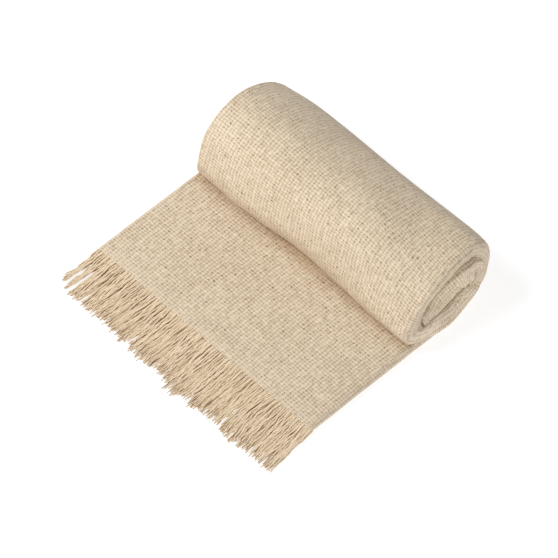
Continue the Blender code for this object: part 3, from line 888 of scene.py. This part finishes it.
class Tree:
    """A short way to write a material's node tree."""

    def __init__(self, name):
        self.material = bpy.data.materials.new(name)
        self.material.use_nodes = True
        self.tree = self.material.node_tree
        self.shader = self.tree.nodes["Principled BSDF"]

    def node(self, kind, **settings):
        """A new node."""
        made = self.tree.nodes.new(kind)
        for name, value in settings.items():
            setattr(made, name, value)
        return made

    def feed(self, socket, value):
        """Give a socket its value."""
        if isinstance(value, bpy.types.NodeSocket):
            self.tree.links.new(value, socket)
        else:
            socket.default_value = value

    def shade(self, values):
        """Give the shader plain values."""
        for name, value in values.items():
            self.shader.inputs[name].default_value = value

    def math(self, operation, *values):
        """One sum."""
        made = self.node("ShaderNodeMath", operation=operation)
        for socket, value in zip(made.inputs, values):
            self.feed(socket, value)
        return made.outputs[0]

    def times(self, first, second):
        """The product of two numbers."""
        return self.math("MULTIPLY", first, second)

    def less(self, first, second):
        """The first number without the second."""
        return self.math("SUBTRACT", first, second)

    def total(self, first, *others):
        """The sum of all the numbers."""
        for other in others:
            first = self.math("ADD", first, other)
        return first

    def largest(self, first, *others):
        """The largest of the numbers."""
        for other in others:
            first = self.math("MAXIMUM", first, other)
        return first

    def blend(self, values, shares):
        """The sum of values, each times its share."""
        return self.total(*[self.times(value, share) for value, share in zip(values, shares)])

    def ramp(self, value, ramp, start=0.0):
        """A soft step, moved along by its start."""
        made = self.node("ShaderNodeMapRange", interpolation_type="SMOOTHSTEP")
        given = (value, start + ramp.low, start + ramp.high, ramp.to_low, ramp.to_high)
        for socket, number in zip(made.inputs, given):
            self.feed(socket, number)
        return made.outputs[0]

    def mix(self, share, first, second, way="MIX"):
        """One colour, with a share of the second mixed in."""
        made = self.node("ShaderNodeMix", data_type="RGBA", blend_type=way)
        self.feed(made.inputs["Factor"], share)
        self.feed(made.inputs[MIX_FIRST], first)
        self.feed(made.inputs[MIX_SECOND], second)
        return made.outputs[MIX_RESULT]

    def join(self, x, y, z):
        """A vector from three numbers."""
        made = self.node("ShaderNodeCombineXYZ")
        for socket, value in zip(made.inputs, (x, y, z)):
            self.feed(socket, value)
        return made.outputs[0]

    def noise(self, vector, scale, detail):
        """Smooth noise from 0 to 1."""
        made = self.node("ShaderNodeTexNoise")
        self.feed(made.inputs["Vector"], vector)
        self.feed(made.inputs["Scale"], scale)
        self.feed(made.inputs["Detail"], detail)
        return made.outputs["Fac"]

    def grain(self, u, v, grain):
        """Smooth noise that follows the yarns."""
        vector = self.join(self.times(u, grain.often_u), self.times(v, grain.often_v), grain.height)
        return self.noise(vector, 1.0, grain.detail)

    def cell(self, x, y, height):
        """A random value from 0 to 1 for each pair of whole numbers."""
        made = self.node("ShaderNodeTexWhiteNoise", noise_dimensions="3D")
        self.feed(made.inputs["Vector"], self.join(x, y, height))
        return made.outputs["Value"]

    def swing(self, vector, often, reach, place):
        """A smooth random shift to both sides, reach wide in all."""
        moved = self.node("ShaderNodeVectorMath", operation="ADD")
        self.feed(moved.inputs[0], vector)
        moved.inputs[1].default_value = place
        return self.times(self.less(self.noise(moved.outputs[0], often, SWAY_DETAIL), 0.5), reach)

    def bump(self, height, strength, distance):
        """Fine relief of the surface."""
        made = self.node("ShaderNodeBump")
        made.inputs["Strength"].default_value = strength
        made.inputs["Distance"].default_value = distance
        self.feed(made.inputs["Height"], height)
        self.feed(self.shader.inputs["Normal"], made.outputs[0])

    def coordinates(self):
        """The mesh's weave coordinates, together and each alone."""
        both = self.node("ShaderNodeUVMap", uv_map="weave").outputs[0]
        split = self.node("ShaderNodeSeparateXYZ")
        self.feed(split.inputs[0], both)
        return both, split.outputs[0], split.outputs[1]


def weave_material(under, foot):
    """Plain weave from the cloth's own yarn counts: round slubby yarns, uneven gaps.
    Painted shade in the gaps and along the creases, painted highlights on the yarns' crests
    and a painted grey sheen on the rim.
    """
    t = Tree("oatmeal_weave")
    uv, plain_u, plain_v = t.coordinates()
    u = t.total(plain_u, *[t.swing(uv, sway.often, sway.reach, sway.warp_place) for sway in SWAYS])
    v = t.total(plain_v, *[t.swing(uv, sway.often, sway.reach, sway.weft_place) for sway in SWAYS])
    warp = t.math("ROUND", u)
    weft = t.math("ROUND", v)
    high = woven_height(t, u, v, warp, weft)
    twist = t.grain(u, v, TWIST)
    patch = t.noise(uv, PATCH_OFTEN, PATCH_DETAIL)
    # Painted highlight along each yarn's crest, thin and bright.
    crest_highlight = t.math("POWER", high, CREST_HIGHLIGHT_POWER)
    float_tone = t.less(t.cell(warp, weft, FLOAT_HEIGHT), 0.5)
    tones = (float_tone, twist, patch, t.grain(u, v, HEATHER), crest_highlight)
    yarn = t.mix(t.ramp(t.blend(tones, WOVEN_SHARES), WOVEN_TONE), YARN_DEEP, YARN_PALE)
    # Painted shade in the gaps between the yarns, darker in some gaps than in others.
    gap_cell = t.cell(t.math("FLOOR", u), t.math("FLOOR", v), GAP_HEIGHT)
    gap_shade = t.mix(t.ramp(gap_cell, GAP_SHADE_DEPTH), GAP_SHADE_TAN, GAP_SHADE_BROWN)
    rim = t.times(t.ramp(plain_u, RIM_STARTS), t.ramp(plain_u, RIM_ENDS))
    rim = t.times(rim, t.ramp(plain_v, RIM_PAST_FOOT, foot))
    border = t.ramp(plain_v, BORDER)
    on_flat = crease_mask(t, plain_u, plain_v, WARPS_STRAIGHT + WARPS_FOLD, under, UNDER_CREASE)
    on_roll = crease_mask(t, plain_u, plain_v, 0.0, foot, FOOT_CREASE)
    smooth = t.largest(t.times(rim, RIM_SMOOTH), t.times(border, BORDER_SMOOTH),
                       t.times(on_roll, CREASE_SMOOTH))
    # Where the yarns cover the painted gap shade: on their tops, in fuzz and on smooth bands.
    covered = t.total(high, t.ramp(t.grain(u, v, FUZZ), GAP_FUZZ))
    cover = t.largest(t.ramp(covered, YARN_COVER), smooth)
    colour = t.mix(cover, gap_shade, t.mix(t.times(border, BORDER_PALE), yarn, YARN_PALE))
    # Painted grey sheen on the rim of the fold at +X, weaker past the roll's foot.
    colour = t.mix(t.times(rim, RIM_SHEEN_SHARE), colour, RIM_SHEEN_GREY)
    # Painted shade along the creases where the roll meets the flat end, uneven in patches.
    crease = t.times(t.largest(on_flat, on_roll), t.ramp(patch, CREASE_SHADE_PATCHES))
    t.feed(t.shader.inputs["Base Color"], t.mix(crease, colour, CREASE_SHADE_TINT, "MULTIPLY"))
    t.bump(t.total(high, t.times(twist, TWIST_BUMP)), *WOVEN_BUMP)
    t.shade(CLOTH_FINISH)
    return t.material


def woven_height(t, u, v, warp, weft):
    """How high the upper yarn stands, with warps and wefts over one another in turn."""
    from_warp = t.less(u, warp)
    from_weft = t.less(v, weft)
    round_warp = roundness(t, from_warp, t.ramp(t.grain(warp, v, WARP_SLUBS), SLUB_RADIUS))
    round_weft = roundness(t, from_weft, t.ramp(t.grain(u, weft, WEFT_SLUBS), SLUB_RADIUS))
    odd = t.math("PINGPONG", t.total(warp, weft), 1.0)
    sign = t.less(t.times(odd, 2.0), 1.0)
    rise_warp = t.times(sign, t.math("COSINE", t.times(from_weft, math.pi)))
    rise_weft = t.times(sign, t.math("COSINE", t.times(from_warp, math.pi)))
    over_warp = t.total(t.times(rise_warp, OVER_RISE), OVER_MIDDLE)
    over_weft = t.less(OVER_MIDDLE, t.times(rise_weft, OVER_RISE))
    return t.largest(t.times(over_warp, round_warp), t.times(over_weft, round_weft))


def roundness(t, away, radius):
    """How high a round yarn stands at a distance from its middle, from 0 to 1."""
    share = t.math("DIVIDE", away, radius)
    fall = t.less(1.0, t.times(share, share))
    return t.math("SQRT", t.largest(fall, 0.0))


def crease_mask(t, plain_u, plain_v, first_warp, place, crease):
    """1 along a crease, fading out before and after it, on one side of the cloth."""
    last_warp = first_warp + WARPS_STRAIGHT
    starts, deepest, ends = crease
    across = t.times(t.ramp(plain_u, Ramp(first_warp - CREASE_EDGE, first_warp)),
                     t.ramp(plain_u, Ramp(last_warp, last_warp + CREASE_EDGE, 1.0, 0.0)))
    along = t.times(t.ramp(plain_v, Ramp(starts, deepest), place),
                    t.ramp(plain_v, Ramp(deepest, ends, 1.0, 0.0), place))
    return t.times(across, along)


def yarn_material():
    """Loose yarn: fine twisted streaks of pale and deeper fibre, with painted shade that darkens the
    lower layers.
    """
    t = Tree("oatmeal_yarn")
    _, around, along = t.coordinates()
    turns = t.blend((around, along), (STREAKS_ROUND, STREAKS_ALONG))
    streak = t.grain(turns, along, LOOSE_STREAKS)
    number = t.math("FLOOR", t.math("DIVIDE", around, YARN_APART))
    strand = t.grain(number, along, LOOSE_STRANDS)
    # The layer's height in the fringe, which paints shade on the lower layers.
    level = t.math("DIVIDE", around, YARN_APART * WARPS_ACROSS * FRINGE_LAYERS)
    tone = t.blend((streak, strand, level), LOOSE_SHARES)
    colour = t.mix(t.ramp(tone, LOOSE_TONE), LOOSE_DEEP_AND_SHADED, LOOSE_PALE)
    t.feed(t.shader.inputs["Base Color"], colour)
    t.bump(streak, *LOOSE_BUMP)
    t.shade(CLOTH_FINISH)
    return t.material


# Floor, light and camera.

def make_floor():
    """A wide pale floor just under the throw."""
    mesh = bpy.data.meshes.new("floor")
    signs = ((-1, -1), (1, -1), (1, 1), (-1, 1))
    corners = [(x * FLOOR_REACH, y * FLOOR_REACH, FLOOR_Z) for x, y in signs]
    mesh.from_pydata(corners, [], [(0, 1, 2, 3)])
    floor = bpy.data.objects.new("floor", mesh)
    bpy.context.scene.collection.objects.link(floor)
    t = Tree("white_floor")
    t.shade(FLOOR_FINISH)
    mesh.materials.append(t.material)


def make_light():
    """Two big soft lights on the throw, and an even white room."""
    world = bpy.data.worlds.new("studio")
    bpy.context.scene.world = world
    world.use_nodes = True
    background = world.node_tree.nodes["Background"]
    background.inputs["Color"].default_value = ROOM_COLOUR
    background.inputs["Strength"].default_value = ROOM_LIGHT
    for lamp in LAMPS:
        add_lamp(lamp)


def add_lamp(given):
    """A square soft light that looks at the throw."""
    lamp = bpy.data.lights.new(given.name, "AREA")
    lamp.size = given.side
    lamp.energy = given.power
    light = bpy.data.objects.new(given.name, lamp)
    light.location = given.place
    light.rotation_mode = "QUATERNION"
    light.rotation_quaternion = (-Vector(given.place)).to_track_quat("-Z", "Y")
    bpy.context.scene.collection.objects.link(light)


def make_camera():
    """The photograph's angle and framing, from one matched place of it."""
    back = Vector((math.sin(AZIMUTH) * math.cos(ELEVATION),
                   -math.cos(AZIMUTH) * math.cos(ELEVATION), math.sin(ELEVATION)))
    right = Vector((math.cos(AZIMUTH), math.sin(AZIMUTH), 0.0))
    up = back.cross(right)
    matched = Vector((0.5 * STRIP_WIDTH, 0.0, MATCHED_HEIGHT)) + Vector(STRIP_ORIGIN)
    middle = 0.5 * IMAGE_SIDE
    across = (middle - MATCHED_PIXEL[0]) / PIXELS_PER_METRE
    rise = (MATCHED_PIXEL[1] - middle) / PIXELS_PER_METRE
    target = matched + right * across + up * rise
    lens = bpy.data.cameras.new("camera")
    lens.sensor_width = SENSOR_WIDTH
    lens.lens = SENSOR_WIDTH * CAMERA_DISTANCE * PIXELS_PER_METRE / IMAGE_SIDE
    lens.clip_end = 10.0 * CAMERA_DISTANCE
    camera = bpy.data.objects.new("camera", lens)
    camera.matrix_world = Matrix.Translation(target + back * CAMERA_DISTANCE) @ (
        Matrix((right, up, back)).transposed().to_4x4())
    bpy.context.scene.collection.objects.link(camera)
    bpy.context.scene.camera = camera


def main():
    """The throw on its floor, with its materials, lights and camera."""
    zones = stations()
    cloth = make_piece("woven_throw", *build_cloth(zones))
    fringe = make_piece("warp_fringe", *build_fringe())
    for piece in (cloth, fringe):
        piece.data.transform(Matrix.Translation(STRIP_ORIGIN))
        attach(piece, "root")
    wefts = weft_counts(zones)
    cloth.data.materials.append(weave_material(wefts["under front"], wefts["front foot"]))
    fringe.data.materials.append(yarn_material())
    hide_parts("rolled_throw")
    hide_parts("fringe")
    make_floor()
    make_light()
    make_camera()
    bpy.context.scene.view_settings.view_transform = "Standard"


main()
